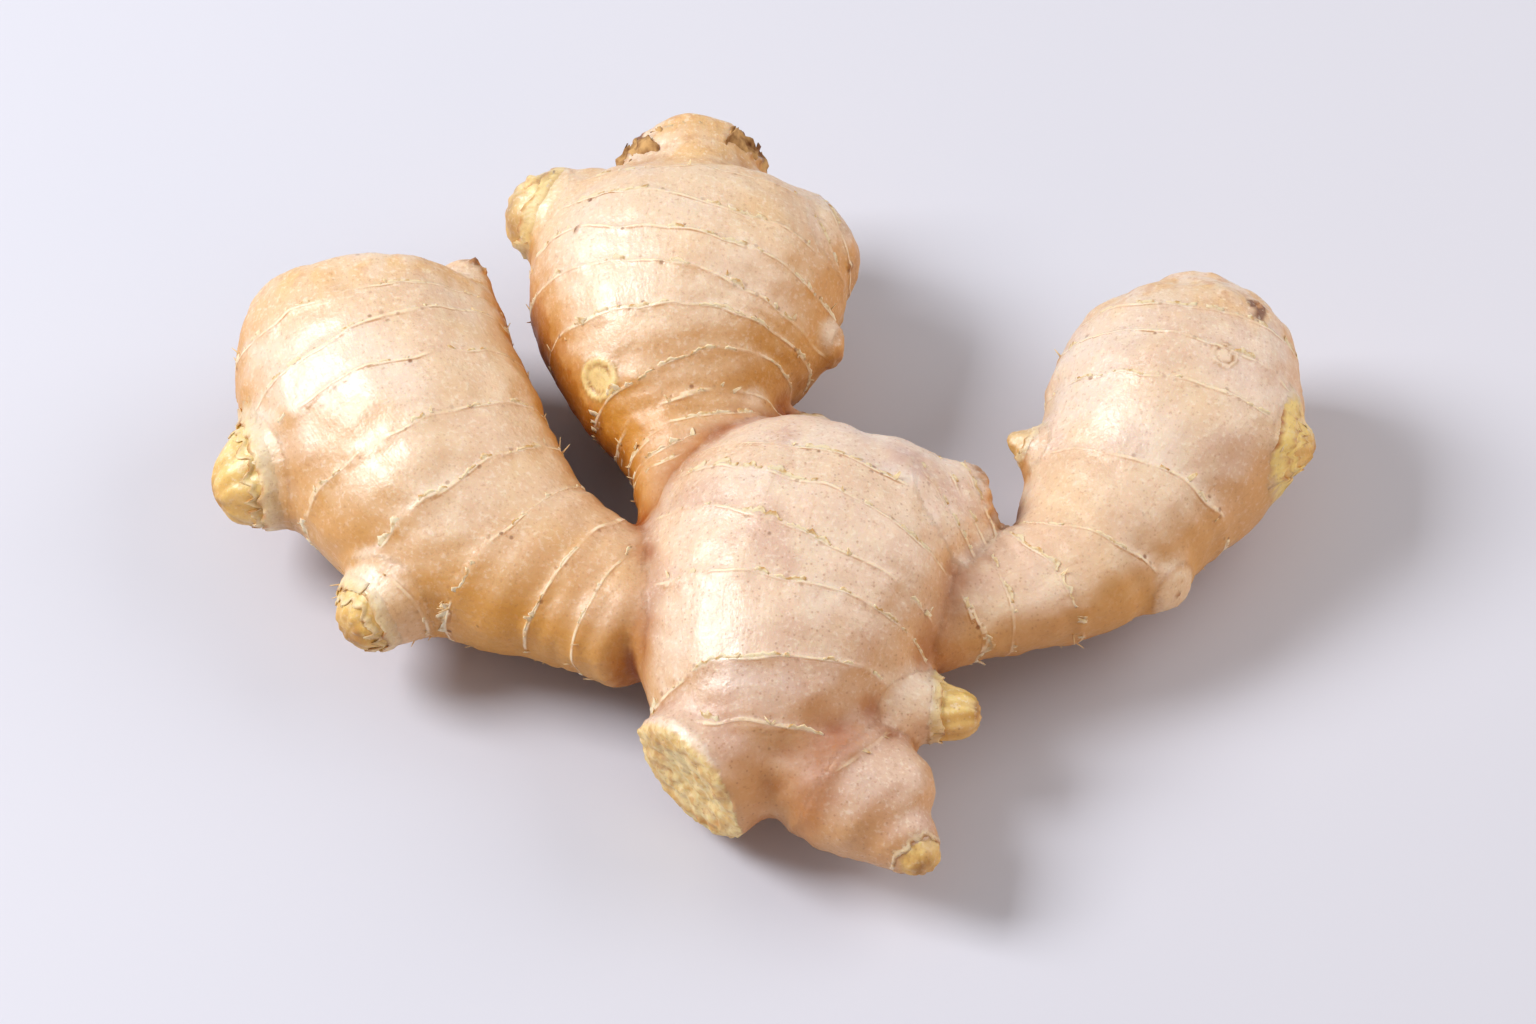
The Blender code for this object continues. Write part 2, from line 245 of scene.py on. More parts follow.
def smooth_line(rows):
    """The rows of a growth line, read in small steps along a smooth curve that passes through them."""
    rows = np.array(rows, float)
    ends = [2 * rows[0] - rows[1], *rows, 2 * rows[-1] - rows[-2]]
    out = []
    for a, b, c, d in zip(ends, ends[1:], ends[2:], ends[3:]):
        count = max(2, round(np.linalg.norm((c - b)[:3]) / STEP_ALONG))
        for t in np.arange(count) / count:
            bend = (2 * a - 5 * b + 4 * c - d) + t * (3 * (b - c) + d - a)
            out.append(b + 0.5 * t * ((c - a) + t * bend))
    out.append(rows[-1])
    return np.array(out)


def wander(points, length):
    """A smooth random number for each point in mm, that changes over the length."""
    return np.array([noise.noise(Vector(p) / length) for p in points])


def ramp(low, high, value):
    """0 up to low, 1 from high on, and a smooth rise between them."""
    t = np.clip((value - low) / (high - low), 0, 1)
    return t * t * (3 - 2 * t)


class Growth:
    """The centreline of a lobe or a bud, with its width, its direction and its rings."""

    def __init__(self, kind, waver):
        line = smooth_line(kind["line"])
        self.rings = kind["rings"]
        self.waver = waver
        self.squash = np.array((1, 1, 1 / kind.get("thick", 1)))
        self.middle = line[:, :3]
        self.width = line[:, 3]
        gaps = np.linalg.norm(np.diff(self.middle, axis=0), axis=1)
        self.reach = np.concatenate([[0], np.cumsum(gaps)])
        onward = np.gradient(self.middle * self.squash, axis=0)
        self.onward = onward / np.linalg.norm(onward, axis=1)[:, None]
        rightward = np.cross(self.onward, (0, 0, 1))
        self.rightward = rightward / np.linalg.norm(rightward, axis=1)[:, None]

    def read(self, what, along):
        """The line's width, middle or direction at these distances along it."""
        values = getattr(self, what)
        if values.ndim == 1:
            return np.interp(along, self.reach, values)
        return np.stack([np.interp(along, self.reach, column) for column in values.T], axis=1)

    def places(self, points):
        """How far outside the line each point lies, how far along, right and up, and its nearest row."""
        best = np.full((4, len(points)), np.inf)
        nearest = np.zeros(len(points), int)
        for index in range(len(self.middle)):
            off = (points - self.middle[index]) * self.squash
            gap = np.linalg.norm(off, axis=1) - self.width[index] / 2
            nearer = gap < best[0]
            best[0, nearer] = gap[nearer]
            best[1, nearer] = self.reach[index] + off[nearer] @ self.onward[index]
            best[2, nearer] = off[nearer] @ self.rightward[index]
            best[3, nearer] = off[nearer, 2]
            nearest[nearer] = index
        return best, nearest

    def past_rings(self, points, places):
        """How far past each ring the points are, along the line, one row for each ring."""
        side = places[2] / (self.read("width", places[1]) / 2)
        along = places[1] + self.waver * wander(points, WAVER_LENGTH)
        return np.array([along - at - askew * side for at, askew in self.rings])


NAMES = [*LOBES, *BUDS]
GROWTHS = [Growth(lobe, LOBE_WAVER) for lobe in LOBES.values()]
GROWTHS += [Growth(bud, BUD_WAVER) for bud in BUDS.values()]
BUD_EDGE = 0.5  # mm that a bud stands out of its lobe where the skin counts as the bud's
NO_RING = 9.0  # mm, the distance written where no ring is near
BLEND_REACH = 5.0  # mm over which one lobe's looks turn into the next one's
CREASE_REACH = 3.5  # mm beside a neighbouring lobe over which the rings die out
LOWER_CREASE_REACH = 1.5  # mm, the same on the lower lobe
SIDES_REACH = 4.0  # mm from a ring up to which its two sides differ
FLATTEST = 0.35  # least share of a distance on the skin that runs along the line


def trait_of(name):
    """One trait of every lobe and bud, in the order of the growths."""
    return np.array([kind.get(name, 0.0) for kind in [*LOBES.values(), *BUDS.values()]])


class SkinMap:
    """What each point of the skin belongs to, where it lies there, and how far its nearest ring is."""

    def __init__(self, points, normals):
        measured = [growth.places(points) for growth in GROWTHS]
        outside = np.array([best[0] for best, _ in measured])
        lobes, buds = outside[: len(LOBES)], outside[len(LOBES) :]
        order = np.sort(lobes, axis=0)
        self.weights = np.exp(-(lobes - order[0]) / BLEND_REACH)
        self.weights /= self.weights.sum(axis=0)
        self.apart = order[1] - order[0]
        self.rise = order[0] - buds.min(axis=0)
        is_bud = self.rise > BUD_EDGE
        self.owner = np.where(is_bud, buds.argmin(axis=0) + len(LOBES), lobes.argmin(axis=0))
        on_lower = lobes.argmin(axis=0) == NAMES.index("lower")
        free = np.where(on_lower, LOWER_CREASE_REACH, CREASE_REACH)
        clear_lobe = ramp(0.3, free, self.apart) * ramp(BUD_EDGE, BUD_EDGE - 1.5, self.rise)
        self.clear = np.where(is_bud, ramp(BUD_EDGE, BUD_EDGE + 1.0, self.rise), clear_lobe)
        self.along, self.right, self.up, self.width, self.lean, self.past_last = np.zeros((6, len(points)))
        self.left_over, self.ring = np.full((2, len(points)), NO_RING)
        self.which_ring, self.band = np.zeros((2, len(points)), int)
        for index, (growth, (best, nearest)) in enumerate(zip(GROWTHS, measured)):
            mine = self.owner == index
            if not mine.any():
                continue
            spot = best[:, mine]
            self.along[mine], self.right[mine], self.up[mine] = spot[1:]
            self.width[mine] = growth.read("width", spot[1])
            self.left_over[mine] = growth.reach[-1] - spot[1]
            facing = np.einsum("ij,ij->i", growth.onward[nearest[mine]], normals[mine])
            slope = np.clip(np.sqrt(np.clip(1 - facing**2, 0, 1)), FLATTEST, 1)
            past = growth.past_rings(points[mine], spot)
            closest = np.abs(past).argmin(axis=0)
            signed = past[closest, np.arange(past.shape[1])] / slope
            self.ring[mine] = signed * np.where(closest % 2, -1, 1)
            self.lean[mine] = signed * ramp(SIDES_REACH, 1.5, np.abs(signed))
            self.which_ring[mine] = closest + 10 * index
            self.band[mine] = (past > 0).sum(axis=0) + 10 * index
            self.past_last[mine] = past[-1]


def read_points(mesh, what):
    """The mesh's vertex places or normals, one row for each vertex."""
    values = np.empty(len(mesh.vertices) * 3)
    mesh.vertices.foreach_get(what, values)
    return values.reshape(-1, 3)


def place_points(thing, places):
    """Moves the vertices to these places in mm, though not out of the solid's box, and returns them."""
    places = np.clip(places, lowest, highest)
    thing.data.vertices.foreach_set("co", (places * MM).ravel())
    thing.data.update()
    return places


def select_only(mesh, corners=False, faces=False):
    """Selects these vertices and these faces of the mesh, and none of its edges."""
    for elements, chosen in ((mesh.vertices, corners), (mesh.edges, False), (mesh.polygons, faces)):
        elements.foreach_set("select", np.full(len(elements), chosen))


def keep_only(thing):
    """Selects this object alone and makes it the active one."""
    bpy.ops.object.select_all(action="DESELECT")
    thing.select_set(True)
    bpy.context.view_layer.objects.active = thing


def apply_all(thing):
    """Applies the object's modifiers in their order."""
    keep_only(thing)
    for modifier in list(thing.modifiers):
        bpy.ops.object.modifier_apply(modifier=modifier.name)


def smoothing(thing, passes, where=None):
    """Evens the mesh out over a few faces, less where the weights say so."""
    even = thing.modifiers.new("even", "SMOOTH")
    even.factor = 0.5
    even.iterations = passes
    if where is not None:
        group = thing.vertex_groups.new(name="even")
        for index, weight in enumerate(where):
            group.add([index], weight, "REPLACE")
        even.vertex_group = "even"
    apply_all(thing)


FINE_NET = 1.05  # mm between the points of the smoothed skin, halved along the rings and on the buds
RING_REACH = 0.9  # mm either side of a ring where the net is halved
FACET_PASSES = 6  # rounds of smoothing that take the solid's facets away
SLIM, STOUT = 8.0, 20.0  # mm of width, between which the smoothing grows to its full strength
SPOT_REACH = 1.5  # of a scar's or crust's radius, within which the net is halved

lowest, highest = (np.array(corner) / MM for corner in cad_box)
skin = bpy.data.objects.new("skin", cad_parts["ginger_root"].data.copy())
scene.collection.objects.link(skin)
keep_only(skin)
bpy.ops.object.mode_set(mode="EDIT")
bpy.ops.mesh.select_all(action="SELECT")
bpy.ops.mesh.remove_doubles(threshold=0.01 * MM)
bpy.ops.object.mode_set(mode="OBJECT")
net = skin.modifiers.new("net", "REMESH")
net.mode = "VOXEL"
net.voxel_size = FINE_NET * MM
apply_all(skin)

points = read_points(skin.data, "co") / MM
skin_map = SkinMap(points, read_points(skin.data, "normal"))
near_ring = (np.abs(skin_map.ring) < RING_REACH) & (skin_map.clear > 0.2)
spot_reach = np.full(len(points), np.inf)
for middle, radius in [*(scar[:2] for scar in SCARS.values()), *CRUSTS]:
    spot_reach = np.minimum(spot_reach, np.linalg.norm(points - middle, axis=1) / radius)
fine_part = near_ring | (skin_map.rise > BUD_EDGE + 0.5) | (spot_reach < SPOT_REACH)
smoothing(skin, FACET_PASSES, ramp(SLIM, STOUT, skin_map.width))
smoothing(skin, 1)
chosen = np.array([fine_part[list(face.vertices)].any() for face in skin.data.polygons])
select_only(skin.data, faces=chosen)
bpy.ops.object.mode_set(mode="EDIT")
bpy.ops.mesh.select_mode(type="FACE")
bpy.ops.mesh.subdivide(number_cuts=1, ngon=False)
bpy.ops.object.mode_set(mode="OBJECT")
smoothing(skin, 1)

# Raises the fine relief: the low lips of the rings and the step down to the skin that each scale leaf
# once covered, the swelling between two rings, the wrinkles of the necks and small lumps all over.
LIP_HEIGHT = 0.17  # mm
LIP_HALF_WIDTH = 0.40  # mm
STEP_HEIGHT = 0.16  # mm
STEP_REACH = 2.0  # mm
SWELL = 0.35  # mm
SWELL_REACH = 4.5  # mm
WRINKLE_HEIGHT = 0.42  # mm
WRINKLE_SPACING = 2.1  # mm
WRINKLE_LENGTH = 12.0  # mm
LUMPS = ((0.55, 9.0), (0.24, 3.4), (0.08, 1.5))  # heights and lengths in mm
PLEATS = 8  # grooves round a live bud's tip
PLEAT_HEIGHT = 0.13  # mm
CRUST_HEIGHT = 0.7  # mm, of a dried tip
SCALY_HEIGHT = 0.6  # mm, of the scaly lobe ends
SCAR_RIM_HEIGHT = 0.28  # mm
STOUT_NECK, SLIM_NECK = 34, 22  # mm of width, between which a lobe's neck comes to its full wrinkles
FLESH_RELIEF = ((0.35, 1.5), (0.2, 0.7))  # heights and lengths in mm, on the broken face

points = read_points(skin.data, "co") / MM
normals = read_points(skin.data, "normal")
skin_map = SkinMap(points, normals)
owner, left_over = skin_map.owner, skin_map.left_over
chance = np.random.default_rng(11)
ring_strength = chance.uniform(0.5, 1.0, 10 * len(GROWTHS))[skin_map.which_ring]
ring_strength *= np.clip(0.8 + 1.3 * wander(points, 5.0), 0.1, 1.4) * skin_map.clear
on_bud = ramp(BUD_EDGE, 1.5, skin_map.rise)
lip = LIP_HEIGHT * (1 + 0.7 * on_bud) * np.exp(-((skin_map.ring / LIP_HALF_WIDTH) ** 2)) * ring_strength
step = -STEP_HEIGHT * ramp(-0.3, 0.3, skin_map.lean) * np.exp(-np.abs(skin_map.lean) / STEP_REACH)
swell = SWELL * (ramp(0, SWELL_REACH, np.abs(skin_map.ring)) - 0.7) * skin_map.clear
off_bud = ramp(BUD_EDGE + 1.0, BUD_EDGE - 1.0, skin_map.rise)
neck = ramp(STOUT_NECK, SLIM_NECK, skin_map.width) * off_bud
over = np.stack([skin_map.right, skin_map.up], axis=1) / WRINKLE_LENGTH
folds = np.column_stack([skin_map.along / WRINKLE_SPACING, over])
wrinkle = WRINKLE_HEIGHT * neck * wander(folds, 1.0)
lumps = sum(height * wander(points, length) for height, length in LUMPS)
scaly_end = ramp(14, 4, left_over) * trait_of("ochre")[owner]
lumps += SCALY_HEIGHT * scaly_end * wander(points, 3.0)
crusty = np.zeros(len(points))
for middle, radius in CRUSTS:
    ragged = np.linalg.norm(points - middle, axis=1) / radius + 0.5 * wander(points, 1.5)
    crusty = np.maximum(crusty, ramp(1.1, 0.7, ragged))
angle = np.arctan2(skin_map.up, skin_map.right)
past_last = ramp(-0.4, 0.6, skin_map.past_last) * (skin_map.rise > BUD_EDGE)
live_tip = past_last * (trait_of("green")[owner] > 0)
pleats = PLEAT_HEIGHT * live_tip * np.sin(PLEATS * angle + 3 * wander(points, 4.0))
dry_tip = past_last * (trait_of("dry")[owner] > 0.4)
crust = CRUST_HEIGHT * dry_tip * wander(points, 1.6)
crust += CRUST_HEIGHT * crusty * (0.3 + wander(points, 1.2))
is_break = owner == NAMES.index("mother_break")
flesh = is_break * ramp(1.3, 0.5, left_over)
crust += flesh * sum(height * wander(points, length) for height, length in FLESH_RELIEF)
scar_rings = np.zeros(len(points))
for middle, radius, _ in SCARS.values():
    out = np.linalg.norm(points - middle, axis=1) / radius
    scar_rings += SCAR_RIM_HEIGHT * np.exp(-(((out - 0.95) / 0.16) ** 2))
    scar_rings += 0.6 * SCAR_RIM_HEIGHT * ramp(0.6, 0.4, out)
relief = lip + step * ring_strength + swell + wrinkle + lumps + pleats + crust + scar_rings
points = place_points(skin, points + normals * relief[:, None])
skin.data.shade_smooth()

# Colours the skin as far as it changes slowly, painted shade included: orange on the sides turned from
# the light, and brown in the creases, at the joints between lobes and where the hand or the floor blocks
# the outlook. The material adds what is finer than the mesh.
HOLLOW_PASSES = 120  # rounds of smoothing against which a hollow is measured
OUTLOOKS = 28  # directions looked into from each corner of the solid
OUTLOOK_REACH = 25.0  # mm
# Skin facing this way is painted pale as if lit, and skin turned away from it gets painted orange shade.
PAINTED_LIGHT_FROM = np.array((-0.12, 0.26, 0.95))  # the direction that the palest skin faces
BARED_UP_TO = 1  # the ring of the mother lobe up to which its old skin has come off


def paint(thing, **layers):
    """Stores numbers or vectors for the vertices, which the material reads by their names."""
    for name, values in layers.items():
        kind, field = ("FLOAT_VECTOR", "vector") if values.ndim == 2 else ("FLOAT", "value")
        layer = thing.data.attributes.new(name, kind, "POINT")
        layer.data.foreach_set(field, values.astype(np.float32).ravel())


def linear(hex_colour):
    """The linear colour of an sRGB hex value."""
    srgb = [int(hex_colour[i : i + 2], 16) / 255 for i in (1, 3, 5)]
    return (*[c / 12.92 if c <= 0.04045 else ((c + 0.055) / 1.055) ** 2.4 for c in srgb], 1)


def cover(under, hex_colour, share):
    """The colours under, covered by another one as far as share says."""
    return under + (np.array(linear(hex_colour)[:3]) - under) * np.clip(share, 0, 1)[:, None]


def hollow_of(thing):
    """How far each point of the surface lies below its own smoothed form, in mm."""
    bulk = bpy.data.objects.new("bulk", thing.data.copy())
    scene.collection.objects.link(bulk)
    smoothing(bulk, HOLLOW_PASSES)
    down = read_points(bulk.data, "co") - read_points(thing.data, "co")
    bpy.data.objects.remove(bulk)
    return np.einsum("ij,ij->i", down, read_points(thing.data, "normal")) / MM


def shelter_of(points):
    """How much of the outlook from each point of the skin, 0 to 1, the hand itself or the floor fills."""
    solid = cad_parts["ginger_root"].data
    corners, facing = read_points(solid, "co") / MM, read_points(solid, "normal")
    tree = BVHTree.FromPolygons(
        [tuple(corner) for corner in corners], [tuple(face.vertices) for face in solid.polygons]
    )
    turn = np.pi * (1 + 5**0.5) * np.arange(OUTLOOKS)
    height = 1 - 2 * (np.arange(OUTLOOKS) + 0.5) / OUTLOOKS
    flat = np.sqrt(1 - height**2)
    sphere = np.stack([np.cos(turn) * flat, np.sin(turn) * flat, height], axis=1)
    filled = KDTree(len(corners))
    share = np.zeros(len(corners))
    for index, (corner, outward) in enumerate(zip(corners, facing)):
        filled.insert(corner, index)
        for way in outward + 0.98 * sphere:
            way = Vector(way).normalized()
            floor_gap = -corner[2] / way.z if way.z < 0 else OUTLOOK_REACH
            hit = tree.ray_cast(corner + 0.1 * outward, way, OUTLOOK_REACH)[0]
            share[index] += (floor_gap < OUTLOOK_REACH or hit is not None) / OUTLOOKS
    filled.balance()
    shelter_shade = np.zeros(len(points))
    for index, point in enumerate(points):
        near = filled.find_n(point, 5)
        weights = np.array([1 / (gap + 0.5) ** 2 for _, _, gap in near])
        shelter_shade[index] = share[[corner for _, corner, _ in near]] @ weights / weights.sum()
    return shelter_shade


normals = read_points(skin.data, "normal")
hollow = hollow_of(skin)
shelter_shade = shelter_of(points)
pink = trait_of("pink")[: len(LOBES)] @ skin_map.weights
ochre = ramp(16, 4, left_over) * trait_of("ochre")[owner]
# Painted shade: brown where the skin lies below its smoothed form and along the joints between lobes.
joint_shade = ramp(5.0, 0.0, skin_map.apart) * off_bud
crease_shade = ramp(0.05, 1.0, hollow) + 0.6 * joint_shade
# Painted shade: orange on the sides turned away from the light, with less of it on the back.
shade_climb = trait_of("shade_climb")[: len(LOBES)] @ skin_map.weights
flank_shade = ramp(0.86, 0.15, normals @ PAINTED_LIGHT_FROM - shade_climb + 0.1 * wander(points, 7.0))
flank_shade *= 1 - 0.3 * ramp(0.2, 0.9, normals[:, 1])
shade = chance.random(10 * len(GROWTHS))[skin_map.band]
green = past_last * trait_of("green")[owner]
dry = past_last * trait_of("dry")[owner]
mother = GROWTHS[NAMES.index("mother")]
bared = ramp(0.3, -0.3, mother.past_rings(points, mother.places(points)[0])[BARED_UP_TO])
bared *= np.isin(owner, (NAMES.index("mother"), NAMES.index("lower")))
wide = wander(points, 13.0)
middling = wander(points + 50, 6.0)
small = wander(points + 90, 2.5)

sheath = ramp(BUD_EDGE, 2.5, skin_map.rise) * (trait_of("green")[owner] > 0.5)
neck *= ramp(8, 20, left_over)
gold = trait_of("gold")[: len(LOBES)] @ skin_map.weights
furrow = np.sin(PLEATS * angle + 3 * wander(points, 4.0))

tone = np.tile(np.array(linear("#EFDCC4")[:3]), (len(points), 1))
for hex_colour, share in (
    ("#EDE0DA", 0.9 * pink),
    ("#E5C499", (1 - 0.75 * pink) * ramp(-0.3, 0.35, wide)),
    ("#EAD2C0", (0.05 + 0.8 * pink) * ramp(-0.5, 0.25, middling)),
    ("#D2AFA2", 0.75 * pink * ramp(-0.05, 0.35, wander(points + 20, 8.0))),
    ("#DFB782", 0.4 * shade),
    ("#F3E2C6", 0.3 * ramp(0.1, 0.4, small)),
    ("#CBA28A", 0.45 * bared),
    ("#E2B063", ochre * ramp(-0.25, 0.25, middling + small)),
    ("#F8E6C6", 0.5 * sheath * (1 - 0.6 * pink)),
    ("#CF9444", neck * gold),
    # painted shade, orange on the sides turned away from the light
    ("#CE902F", flank_shade * (0.95 - 0.35 * pink) * (1 - 0.35 * sheath)),
    # painted shade where the hand or the floor blocks the outlook
    ("#B0681A", ramp(0.35, 0.85, shelter_shade) * (1 - 0.3 * pink) * (1 - 0.4 * sheath)),
    # painted shade in the creases and along the joints between lobes
    ("#9A5015", crease_shade * (0.8 + 0.5 * middling) * (1 - 0.5 * sheath)),
    ("#F3D084", sheath * trait_of("yellow")[owner]),
    ("#EACDA6", on_bud * trait_of("pale")[owner]),
    ("#F1D68C", green),
    ("#E0BF63", green * ramp(3.5, 0.5, left_over) * (0.6 + small)),
    ("#C9A24E", 0.5 * green * ramp(0.2, -0.9, furrow)),
    ("#7A4A22", np.minimum(green, 0.8) * ramp(1.0, 0.1, left_over) * (0.8 + small)),
    # painted shade, orange on the live tips' sides turned away from the light
    ("#DB9E42", 0.5 * green * flank_shade),
    ("#9A6A40", dry * (0.7 + 2 * small)),
    ("#7E4B22", crusty * (0.75 + 2 * small)),
    ("#EAD093", flesh),
    ("#D9B36C", flesh * ramp(0.0, 0.4, wander(points, 0.9))),
):
    tone = cover(tone, hex_colour, share)
across = np.hypot(skin_map.right, skin_map.up) / (skin_map.width / 2)
tone = cover(tone, "#D3A65E", 0.7 * flesh * ramp(0.12, 0.02, np.abs(across - 0.74)))
for middle, radius, yellow in SCARS.values():
    out = np.linalg.norm(points - middle, axis=1) / radius
    tone = cover(tone, "#F2DC9C", yellow * ramp(1.2, 1.0, out))
    tone = cover(tone, "#A8712F", 0.8 * ramp(0.14, 0.05, np.abs(out - 0.7)) * (0.8 + 2 * small))
    tone = cover(tone, "#B98A45", 0.5 * ramp(0.1, 0.04, np.abs(out - 1.12)) * (0.8 + 2 * small))
# The painted shade and the necks take away the pale speckle and powder, and some of the shine.
painted_shade_and_neck = 0.7 * flank_shade + crease_shade + 0.5 * neck + 0.6 * ramp(0.3, 0.7, shelter_shade)
paint(
    skin,
    tone=tone,
    ring=skin_map.ring,
    lean=skin_map.lean,
    strong=ring_strength,
    grain=np.stack([skin_map.right, skin_map.up, skin_map.along + 90 * owner], axis=1),
    rosy=pink,
    dusty=1 - np.clip(painted_shade_and_neck, 0, 1),
    # The creases count half here, so the rough brown patches also paint shade in them.
    scaly=np.clip(ochre + 0.8 * dry + 0.5 * crease_shade + 0.6 * flesh + crusty, 0, 1),
)


def set_inputs(node, inputs):
    """Sets a node's inputs. An input is a value, or the output of another node to link."""
    for name, value in inputs.items():
        if isinstance(value, bpy.types.NodeSocket):
            node.id_data.links.new(value, node.inputs[name])
        else:
            node.inputs[name].default_value = value


def add_node(material, kind, inputs=None, **settings):
    """Adds a node with its settings and its inputs."""
    node = material.node_tree.nodes.new("ShaderNode" + kind)
    for name, value in settings.items():
        setattr(node, name, value)
    set_inputs(node, inputs or {})
    return node


def new_material(name, inputs):
    """A material and its Principled shader, whose constant inputs are set on its own sockets."""
    material = bpy.data.materials.new(name)
    material.use_nodes = True
    shader = material.node_tree.nodes["Principled BSDF"]
    set_inputs(shader, inputs)
    return material, shader


def grained(material, size, detail, low, dark, high, pale):
    """A colour that runs from dark to pale as noise with patches of this many mm runs from low to high."""
    place = add_node(material, "TexCoord").outputs["Object"]
    inputs = {"Vector": place, "Scale": 1 / (size * MM), "Detail": detail}
    noise_share = add_node(material, "TexNoise", inputs).outputs["Fac"]
    colours = add_node(material, "ValToRGB", {"Fac": noise_share})
    for stop, position, hex_colour in zip(colours.color_ramp.elements, (low, high), (dark, pale)):
        stop.position = position
        stop.color = linear(hex_colour)
    return colours.outputs["Color"]


# Fresh ginger cork skin, washed and dried: pale and satin, with rosy and golden patches, thin enough for
# the yellow flesh to glow through it, dusted with pores and fine fibres that run along each lobe.
# Its colour starts from the tone on the vertices, painted shade included.
skin_look, skin_shader = new_material(
    "fresh_ginger_cork_skin",
    {
        "IOR": 1.45,
        "Subsurface Weight": 0.22,
        "Subsurface Radius": (1.0, 0.5, 0.2),
        "Subsurface Scale": 0.002,
        "Coat Roughness": 0.34,
    },
)
place = add_node(skin_look, "TexCoord").outputs["Object"]
trait = {
    name: add_node(skin_look, "Attribute", attribute_name=name).outputs["Fac"]
    for name in ("ring", "lean", "strong", "rosy", "scaly", "dusty")
}
grain_place = add_node(skin_look, "Attribute", attribute_name="grain").outputs["Vector"]


def product_of(*factors):
    """The product of several values. A factor in brackets runs smoothly as another value does.

    It holds that value, the two that it runs between and, where they aren't 0 and 1, its own two.
    """
    product = 1.0
    for factor in factors:
        if isinstance(factor, tuple):
            value, low, high, *own = factor
            to_low, to_high = own or (0.0, 1.0)
            ends = {"Value": value, "From Min": low, "From Max": high, "To Min": to_low, "To Max": to_high}
            factor = add_node(skin_look, "MapRange", ends, interpolation_type="SMOOTHSTEP").outputs[0]
        product = add_node(skin_look, "Math", {0: product, 1: factor}, operation="MULTIPLY").outputs[0]
    return product


def dots_of(spacing, size, share):
    """Round dots strewn over the skin, spacing mm apart, of which only a share shows, as two factors."""
    cells = add_node(skin_look, "TexVoronoi", {"Vector": place, "Scale": 1 / (spacing * MM)})
    draw = add_node(skin_look, "SeparateColor", {"Color": cells.outputs["Color"]}).outputs[0]
    return (cells.outputs["Distance"], size / spacing, 0.4 * size / spacing), (draw, share, share - 0.1)


def scaled(name, slope, least):
    """A trait of the skin times the slope, plus the least."""
    inputs = {0: trait[name], 1: slope, 2: least}
    return add_node(skin_look, "Math", inputs, operation="MULTIPLY_ADD").outputs[0]


MOTTLE_SIZE = 2.6  # mm
POWDER_SIZE = 0.75  # mm
FIBRE_SHAPE = (1 / 0.6, 1 / 0.6, 1 / 5.0)  # how often a fibre repeats in a mm: right, up and along
patches = {"Vector": place, "Scale": 1 / (MOTTLE_SIZE * MM), "Detail": 4.0, "Roughness": 0.6}
mottle = add_node(skin_look, "TexNoise", patches).outputs["Fac"]
moved = add_node(skin_look, "Mapping", {"Vector": place, "Location": (0.3, 0, 0)}).outputs[0]
grains = {"Vector": moved, "Scale": 1 / (POWDER_SIZE * MM), "Detail": 3.0, "Roughness": 0.6}
powder = add_node(skin_look, "TexNoise", grains).outputs["Fac"]
stretched = add_node(skin_look, "Mapping", {"Vector": grain_place, "Scale": FIBRE_SHAPE}).outputs[0]
fibre = add_node(skin_look, "TexNoise", {"Vector": stretched, "Scale": 1.0, "Detail": 2.0}).outputs["Fac"]

# The ring scars: a thin pale line, a rusty one along its neck side and small brown dots on it.
off_ring = add_node(skin_look, "Math", {0: trait["ring"]}, operation="ABSOLUTE").outputs[0]
pale_line = product_of((off_ring, 0.34, 0.10), (trait["strong"], 0.15, 0.6))
rust_line = product_of(
    (trait["lean"], -0.20, -0.32), (trait["lean"], -0.62, -0.42), (off_ring, 1.2, 0.9), trait["strong"]
)
ring_dots = product_of(*dots_of(1.5, 0.5, 0.5), (off_ring, 1.1, 0.6), trait["strong"])

# Each colour covers those before it: speckle, fibres, powder and its gaps, rough patches, pores, a few
# dark pits and the ring scars. The pale speckle and powder are left out where shade is painted on the
# tone, and the rough patches darken the creases too, as painted shade.
colour = add_node(skin_look, "Attribute", attribute_name="tone").outputs["Vector"]
for hex_colour, share in (
    ("#FAEED8", product_of((mottle, 0.55, 0.72, 0.0, 0.35), trait["dusty"])),
    ("#B97F4E", product_of((fibre, 0.56, 0.76, 0.0, 0.16))),
    ("#FDF3E4", product_of((powder, 0.52, 0.68, 0.0, 0.4), scaled("dusty", 0.85, 0.15))),
    ("#B07A50", product_of((powder, 0.42, 0.28, 0.0, 0.35))),
    ("#C07F3A", product_of((mottle, 0.52, 0.66), scaled("scaly", 0.7, 0.06))),
    ("#A87452", product_of(*dots_of(0.8, 0.24, 0.5), scaled("rosy", 0.35, 0.12))),
    ("#7A4A26", product_of(*dots_of(6.0, 0.45, 0.3), 0.6)),
    ("#B98048", product_of(rust_line, (mottle, 0.38, 0.6, 0.1, 0.8))),
    ("#FBEBCB", product_of(pale_line, (mottle, 0.35, 0.6, 0.15, 0.8))),
    ("#8A5326", product_of(ring_dots, 0.8)),
):
    cover_inputs = {0: share, 6: colour, 7: linear(hex_colour)}
    colour = add_node(skin_look, "Mix", cover_inputs, data_type="RGBA").outputs[2]

# The skin is waxy and shines where no shade is painted on it, and is duller in the creases and on the scaly
# ends.
satin = {0: trait["scaly"], 1: 0.2, 2: product_of((mottle, 0.35, 0.65, 0.42, 0.56))}
gloss = add_node(skin_look, "Math", satin, operation="MULTIPLY_ADD").outputs[0]

